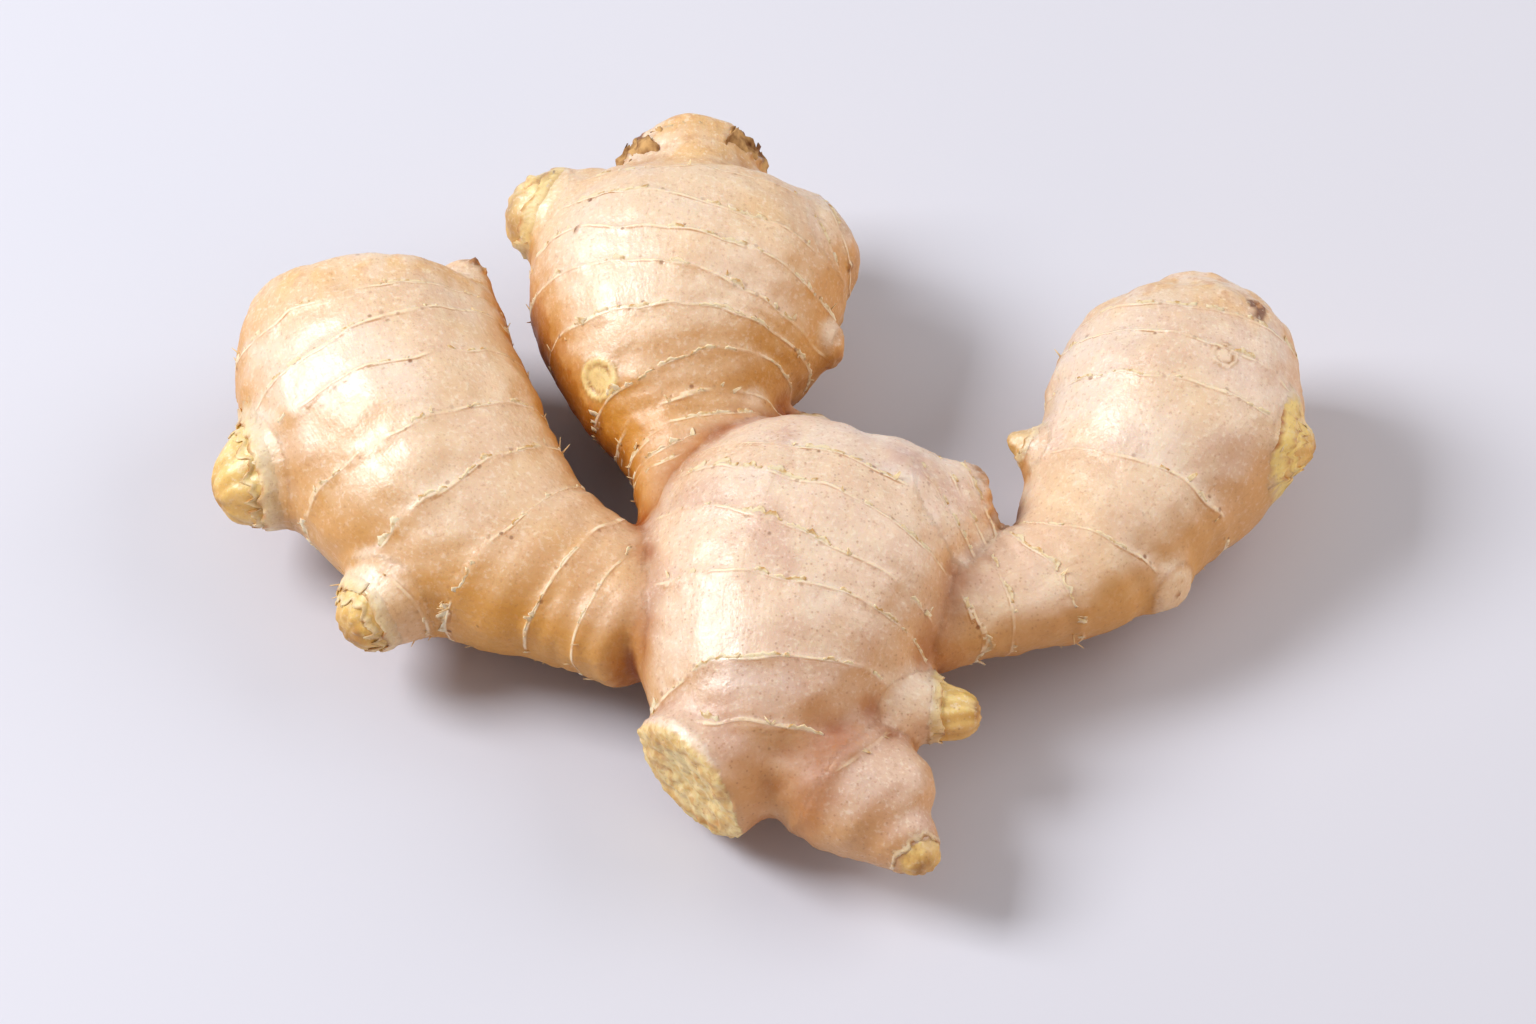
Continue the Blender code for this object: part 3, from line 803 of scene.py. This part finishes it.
# Heights in mm of what is finer than the mesh.
fine = 0.0
heights = ((fibre, 0.05), (mottle, 0.14), (powder, 0.09), (pale_line, 0.07), (ring_dots, -0.08))
for pattern, height in heights:
    raised = {0: pattern, 1: height, 2: fine}
    fine = add_node(skin_look, "Math", raised, operation="MULTIPLY_ADD").outputs[0]
surface = add_node(skin_look, "Bump", {"Height": fine, "Distance": MM, "Strength": 1.0}).outputs[0]
skin_inputs = {
    "Base Color": colour,
    "Roughness": gloss,
    "Specular IOR Level": scaled("dusty", 0.65, 0.35),
    "Coat Weight": scaled("dusty", 0.6, 0.05),
    "Normal": surface,
    "Coat Normal": surface,
}
set_inputs(skin_shader, skin_inputs)
skin.data.materials.clear()
skin.data.materials.append(skin_look)

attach(skin, "root")
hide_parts("ginger_root")

# The remains of the scale leaves: thin dry paper, torn off short, that still grows out of the skin at
# each ring and leans towards the tip. Whole small ones sheathe the live buds.
LEAF_STEP = 0.5  # mm between the places read round a ring
LEAF_THICKNESS = 0.06  # mm
PAPER_GRAIN = 1.2  # mm
SETTLING = 4  # rounds in which a place is moved along the line until it lies on the ring
SHORTEST_LEAF = 0.1  # mm
FRINGE_LIFT = 0.17  # mm that a torn rim stands off the skin
TEAR_LENGTH = 1.1  # mm from one tear to the next

surface_tree = BVHTree.FromPolygons(
    [tuple(point) for point in points], [tuple(face.vertices) for face in skin.data.polygons]
)


def on_skin(growth, along, angles):
    """The skin straight out from the growth line at these distances along it: places, normals, found."""
    onward = growth.read("onward", along)
    rightward = growth.read("rightward", along)
    upward = np.cross(rightward, onward)
    outward = rightward * np.cos(angles)[:, None] + upward * np.sin(angles)[:, None]
    places, facing = np.zeros((2, len(angles), 3))
    found = np.zeros(len(angles), bool)
    farthest = growth.read("width", along) * 0.5 + 4.0
    for index, middle in enumerate(growth.read("middle", along)):
        hit = surface_tree.ray_cast(Vector(middle), Vector(outward[index]), farthest[index])
        if hit[0] is not None:
            places[index], facing[index], found[index] = hit[0], hit[1], True
    return places, facing, found


def trace_ring(growth, which, angles, anywhere):
    """How far along the line a ring runs at each of these angles round it, and where it shows there.

    It shows only on its own lobe or bud, unless it may run anywhere.
    """
    along = np.full(len(angles), float(growth.rings[which][0]))
    for _ in range(SETTLING):
        places, facing, found = on_skin(growth, along, angles)
        off = growth.past_rings(places, growth.places(places)[0])[which]
        along -= np.where(found, np.clip(off, -2, 2), 0)
    places, facing, found = on_skin(growth, along, angles)
    here = SkinMap(places, facing)
    at_home = (here.owner == GROWTHS.index(growth)) & (here.clear > 0.4)
    return along, places, found & (at_home | anywhere)


def grow_leaf(growth, which, reach_at, lift, rows=3, back=0.15, sunk=0.05, anywhere=False):
    """A leaf from sunk mm in the skin, back mm before a ring, to its lifted rim reach_at mm past it."""
    around = np.pi * growth.read("width", np.array([growth.rings[which][0]]))[0]
    columns = max(24, round(around / LEAF_STEP))
    angles = np.linspace(0, 2 * np.pi, columns + 1)
    angles[-1] = 0
    along, places, shows = trace_ring(growth, which, angles, anywhere)
    reach = reach_at(places)
    shows &= reach > SHORTEST_LEAF
    if not shows.any():
        return []
    bpy.ops.mesh.primitive_grid_add(x_subdivisions=columns, y_subdivisions=rows, size=2)
    leaf = bpy.context.active_object
    own = read_points(leaf.data, "co")
    column = np.rint((own[:, 0] + 1) / 2 * columns).astype(int)
    share = (own[:, 1] + 1) / 2
    out = along[column] - back + share * (reach[column] + back)
    end = growth.reach[-1] - 0.3
    spots, facing, found = on_skin(growth, np.minimum(out, end), angles[column])
    spots += growth.read("onward", out) * np.maximum(out - end, 0)[:, None]
    held = found & (np.linalg.norm(spots - places[column], axis=1) < 1.4 * (reach[column] + back) + 0.8)
    gone = ~(held & shows[column])
    raised = -sunk + (lift + sunk) * share**1.5
    place_points(leaf, spots + facing * raised[:, None])
    paint(leaf, rim=share)
    keep_only(leaf)
    select_only(leaf.data, corners=gone)
    bpy.ops.object.mode_set(mode="EDIT")
    bpy.ops.mesh.select_mode(type="VERT")
    bpy.ops.mesh.delete(type="VERT")
    bpy.ops.object.mode_set(mode="OBJECT")
    return [leaf]


def joined(things, name):
    """Several objects made one."""
    bpy.ops.object.select_all(action="DESELECT")
    for thing in things:
        thing.select_set(True)
    bpy.context.view_layer.objects.active = things[0]
    bpy.ops.object.join()
    things[0].name = name
    return things[0]


def whole(length, ragged, grain=2.0):
    """How far a whole leaf reaches at each place: this many mm, more or less."""

    def reach_at(places):
        return length + ragged * (wander(places + 7, grain) + 0.4 * wander(places + 31, grain / 3))

    return reach_at


def torn(longest, gap):
    """How long a torn leaf is at each place: up to this many mm, with gaps where noise is below gap."""

    def reach_at(places):
        rough = wander(places + 7, TEAR_LENGTH) + 0.5 * wander(places + 31, TEAR_LENGTH / 2.5)
        there = wander(places + 60, 5.0)
        return longest * np.clip(0.45 + rough, 0.0, 1.2) * ramp(gap, gap + 0.15, there)

    return reach_at


fringe_leaves = []
for index, growth in enumerate(GROWTHS):
    for which in range(len(growth.rings)):
        longest = chance.uniform(0.5, 1.2) if index < len(LOBES) else 0.6
        fringe_leaves += grow_leaf(growth, which, torn(longest, chance.uniform(-0.25, 0.1)), FRINGE_LIFT)


def grow_flake(index, length, breadth, turn, curl):
    """A loose flake of dry scale leaf, held at its foot by the skin's point of this index."""
    growth = GROWTHS[owner[index]]
    outward = Vector(normals[index])
    onward = Vector(growth.read("onward", skin_map.along[index : index + 1])[0])
    onward = (onward - outward * onward.dot(outward)).normalized()
    sideways = onward.cross(outward)
    onward, sideways = (
        onward * np.cos(turn) + sideways * np.sin(turn),
        sideways * np.cos(turn) - onward * np.sin(turn),
    )
    bpy.ops.mesh.primitive_grid_add(x_subdivisions=4, y_subdivisions=4, size=1)
    flake = bpy.context.active_object
    own = read_points(flake.data, "co")
    share = own[:, 1] + 0.5
    side = own[:, 0] * breadth * (1 - 0.7 * share**2)
    up = -0.08 + curl * length * share**2 + 0.15 * np.abs(own[:, 0]) * share
    flat = np.outer(length * share, onward) + np.outer(side, sideways) + np.outer(up, outward)
    place_points(flake, points[index] + flat)
    paint(flake, rim=share)
    return flake


FLAKES = 80
LOWEST_FLAKE = 6.0  # mm above the surface that the hand rests on
on_ring = (np.abs(skin_map.ring) < 0.5) & (skin_map.clear > 0.3)
fit_for_flakes = np.flatnonzero(on_ring & (points[:, 2] > LOWEST_FLAKE))
for index in chance.choice(fit_for_flakes, FLAKES, replace=False):
    length, breadth = chance.uniform(0.5, 1.5), chance.uniform(0.4, 1.1)
    turn, curl = chance.normal(0, 0.7), chance.uniform(0.1, 0.7)
    fringe_leaves.append(grow_flake(index, length, breadth, turn, curl))
fringes = joined(fringe_leaves, "scale_fringes")


def thicken(thing, thickness):
    """Gives a leaf its thickness, outwards, but not past the solid's box."""
    thick = thing.modifiers.new("thick", "SOLIDIFY")
    thick.thickness = thickness * MM
    thick.offset = 1.0
    apply_all(thing)
    place_points(thing, read_points(thing.data, "co") / MM)
    thing.data.shade_smooth()


thicken(fringes, LEAF_THICKNESS)
paper_look, paper_shader = new_material(
    "dry_papery_scale_leaf",
    {
        "Roughness": 0.6,
        "Subsurface Weight": 0.3,
        "Subsurface Radius": (1.0, 0.5, 0.2),
        "Subsurface Scale": 0.001,
    },
)
rim_share = add_node(paper_look, "Attribute", attribute_name="rim").outputs["Fac"]
rim_colour = grained(paper_look, PAPER_GRAIN, 2.0, 0.36, "#C8935A", 0.52, "#FAE6C0")
paper_inputs = {0: rim_share, 6: linear("#EACB9E"), 7: rim_colour}
paper_mix = add_node(paper_look, "Mix", paper_inputs, data_type="RGBA")
set_inputs(paper_shader, {"Base Color": paper_mix.outputs[2]})
fringes.data.materials.append(paper_look)
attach(fringes, "root")

# The sheaths of the live buds: fleshy scale leaves in the colour of the skin beside them, its painted
# shade included, paler at their ragged rim, which stand off the yellow tip that they hold.
SHEATH_THICKNESS = 0.22  # mm
SHEATH_FORM = {"rows": 8, "sunk": 0.35, "anywhere": True}
INNER_SHEATHS = ("left_end_bud", "left_low_bud", "right_outer_bud")  # buds that show a second leaf
SHEATHS = {  # how far each bud's sheath reaches before and past its last ring and stands off there, in mm
    "left_end_bud": (4.5, 0.8, 0.55),
    "left_low_bud": (4.0, 0.8, 0.45),
    "back_side_bud": (3.5, 0.8, 0.40),
    "mother_side_bud": (2.4, 0.8, 0.45),
    "mother_back_bud": (3.0, 0.8, 0.35),
    "right_inner_nub": (2.5, 0.8, 0.25),
    "right_outer_bud": (4.0, 0.9, 0.40),
    "lower_tip_bud": (2.0, 1.9, 0.12),
}
sheath_leaves = []
for name, (back, onto_tip, lift) in SHEATHS.items():
    growth = GROWTHS[NAMES.index(name)]
    last = len(growth.rings) - 1
    sheath_leaves += grow_leaf(growth, last, whole(onto_tip, 0.9), lift, back=back, **SHEATH_FORM)
    if name in INNER_SHEATHS:
        sheath_leaves += grow_leaf(growth, last, whole(2.3, 1.6, 1.6), 0.35, back=0.4, **SHEATH_FORM)
stub = GROWTHS[NAMES.index("back_stem_stub")]
sheath_leaves += grow_leaf(stub, 1, whole(2.0, 2.0, 1.6), 0.25, back=2.5, **SHEATH_FORM)
sheaths = joined(sheath_leaves, "bud_sheaths")
thicken(sheaths, SHEATH_THICKNESS)
spots = read_points(sheaths.data, "co") / MM
rim = np.empty(len(spots))
sheaths.data.attributes["rim"].data.foreach_get("value", rim)
skin_near = KDTree(len(points))
for index, point in enumerate(points):
    skin_near.insert(point, index)
skin_near.balance()
near = np.array([skin_near.find(spot)[1] for spot in spots])
golden = trait_of("yellow")[owner[near]]
patchy = wander(spots, 1.2)
own_tone = tone[near]
for hex_colour, share in (
    ("#FFE8C2", 0.6 * ramp(0.55, 0.95, rim) * (1 - golden)),
    ("#FFDB84", 0.95 * golden),
    ("#B0672F", golden * ramp(0.70, 0.64, rim) * (0.7 + patchy)),
    ("#B97E40", ramp(0.84, 0.97, rim) * (0.5 + 2 * patchy)),
):
    own_tone = cover(own_tone, hex_colour, share)
none = np.zeros(len(spots))
paint(
    sheaths,
    tone=own_tone,
    ring=none + NO_RING,
    lean=none,
    strong=none,
    grain=np.stack([skin_map.right, skin_map.up, skin_map.along], axis=1)[near],
    rosy=pink[near],
    dusty=none + 0.3,
    scaly=none,
)
sheaths.data.materials.append(skin_look)
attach(sheaths, "root")

# The bark on the stem stub: a few dry brown rags of the old stem's sheath at both sides of its end.
RAG_THICKNESS = 0.2  # mm
LOWEST_RAG = 14.0  # mm above the surface that the hand rests on
CRUMPLE = 0.5  # mm that a rag is pushed about
BARK_GRAIN = 2.0  # mm
STUB_LEFT, STUB_RIGHT = -16.0, -5.0  # mm, x beyond which the rags grow


def ragged_sides(longest, grain):
    """How far the rags reach: up to this many mm at the stub's sides and next to nothing between them."""

    def reach_at(places):
        aside = ramp(STUB_LEFT + 1, STUB_LEFT - 2, places[:, 0])
        aside += ramp(STUB_RIGHT - 1, STUB_RIGHT + 2, places[:, 0])
        return longest * aside * (0.75 + 0.9 * wander(places, grain)) * (places[:, 2] > LOWEST_RAG)

    return reach_at


rags = grow_leaf(stub, 0, ragged_sides(4.0, 2.4), 0.9, rows=10, back=1.2, sunk=0.3, anywhere=True)
rags += grow_leaf(stub, 1, ragged_sides(2.6, 1.8), 0.6, rows=6, back=0.8, sunk=0.3, anywhere=True)
bark = joined(rags, "stub_bark")
spots = read_points(bark.data, "co") / MM
crumpled = np.stack([wander(spots + shift, 1.5) for shift in (0, 40, 80)], axis=1)
place_points(bark, spots + CRUMPLE * crumpled)
thicken(bark, RAG_THICKNESS)
bark_look, bark_shader = new_material("dry_stem_bark", {"Roughness": 0.8, "Specular IOR Level": 0.3})
bark_colour = grained(bark_look, BARK_GRAIN, 6.0, 0.35, "#754A28", 0.62, "#CDA46C")
set_inputs(bark_shader, {"Base Color": bark_colour})
bark.data.materials.append(bark_look)
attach(bark, "root")

# Root stubs: short wiry bristles where feeding roots broke off, mostly on the flanks and underneath.
STUBS = 90
STUB_FOOT, STUB_END = 0.16, 0.05  # mm, the radii
LOWEST_FOOT = 4.0  # mm above the surface that the hand rests on
LOWEST_STUB = 1.2  # mm above it
on_side = (skin_map.clear > 0.5) & (normals[:, 2] < 0.45) & (np.abs(skin_map.ring) < 1.5)
candidates = np.flatnonzero(on_side & (points[:, 2] > LOWEST_FOOT))
bristles = []
for index in chance.choice(candidates, STUBS, replace=False):
    length = chance.uniform(0.7, 2.0)
    bpy.ops.mesh.primitive_cone_add(
        vertices=6,
        radius1=STUB_FOOT * MM,
        radius2=STUB_END * MM,
        depth=length * MM,
        end_fill_type="TRIFAN",
    )
    bristle = bpy.context.active_object
    onward = GROWTHS[owner[index]].read("onward", skin_map.along[index : index + 1])[0]
    lean_out = normals[index] * chance.uniform(0.4, 1.0) + onward * chance.uniform(0.2, 1.0)
    lean_out += chance.normal(0, 0.25, 3)
    direction = Vector(lean_out).normalized()
    bristle.rotation_euler = direction.to_track_quat("Z", "Y").to_euler()
    bristle.location = (Vector(points[index]) + direction * (length / 2 - 0.25)) * MM
    bristles.append(bristle)
roots = joined(bristles, "root_stubs")
bpy.ops.object.transform_apply(location=True, rotation=True, scale=True)
spots = read_points(roots.data, "co") / MM
spots[:, 2] = np.maximum(spots[:, 2], LOWEST_STUB)
place_points(roots, spots)
roots.data.shade_smooth()
root_look, _ = new_material("dry_root_fibre", {"Roughness": 0.6, "Base Color": linear("#E6C795")})
roots.data.materials.append(root_look)
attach(roots, "root")

# The floor: one wide pale matt sheet, as a studio table is covered with.
FLOOR_REACH = 3.0  # metres
BOARD_GRAIN = 1000 / 6  # mm
bpy.ops.mesh.primitive_circle_add(vertices=96, radius=FLOOR_REACH, fill_type="NGON", location=(0, 0, 0))
floor = bpy.context.active_object
floor.name = "floor"
matt = {"Roughness": 0.6, "Specular IOR Level": 0.3}
floor_look, floor_shader = new_material("matt_painted_board", matt)
board_colour = grained(floor_look, BOARD_GRAIN, 2.0, 0.0, "#D6DAE9", 1.0, "#D0D5E5")
set_inputs(floor_shader, {"Base Color": board_colour})
floor.data.materials.append(floor_look)

# The light: a soft box on the left, a broader and weaker one on the right, a faint warm one low in front
# and a pale room.
LIT_SPOT = Vector((0, 0, 0.02))  # metres, where the lamps point
for name, stand, width, power, hex_colour in (
    ("key_lamp", Vector((-0.75, 0.10, 0.72)), 0.45, 11.0, "#FFFBF7"),
    ("side_lamp", Vector((0.75, 0.25, 0.55)), 0.8, 4.5, "#FFF5EA"),
    ("low_lamp", Vector((0.50, -0.75, 0.22)), 0.7, 1.5, "#FFBE80"),
):
    light = bpy.data.lights.new(name, "AREA")
    light.shape = "SQUARE"
    light.size = width
    light.energy = power
    light.color = linear(hex_colour)[:3]
    lamp = bpy.data.objects.new(name, light)
    lamp.location = stand
    lamp.rotation_euler = (LIT_SPOT - stand).to_track_quat("-Z", "Y").to_euler()
    scene.collection.objects.link(lamp)
room = bpy.data.worlds.new("pale_room")
room.use_nodes = True
set_inputs(room.node_tree.nodes["Background"], {"Color": linear("#F2EEEC"), "Strength": 0.33})
scene.world = room
scene.view_settings.view_transform = "Standard"

# The camera looks down at the hand from the front, at the photograph's angle and distance.
CAMERA_ANGLE = np.radians(52)
CAMERA_DISTANCE = 1.05  # metres
HAND_SHARE = 0.72  # of the picture's width that the hand fills
SENSOR = 36.0  # mm
aim = Vector((0.0005, 0.0, 0.014))
camera_data = bpy.data.cameras.new("camera")
camera_data.sensor_width = SENSOR
camera_data.lens = SENSOR * CAMERA_DISTANCE * HAND_SHARE / (cad_box[1].x - cad_box[0].x)
camera = bpy.data.objects.new("camera", camera_data)
camera.location = aim + CAMERA_DISTANCE * Vector((0, -np.cos(CAMERA_ANGLE), np.sin(CAMERA_ANGLE)))
camera.rotation_euler = (aim - camera.location).to_track_quat("-Z", "Y").to_euler()
scene.collection.objects.link(camera)
scene.camera = camera
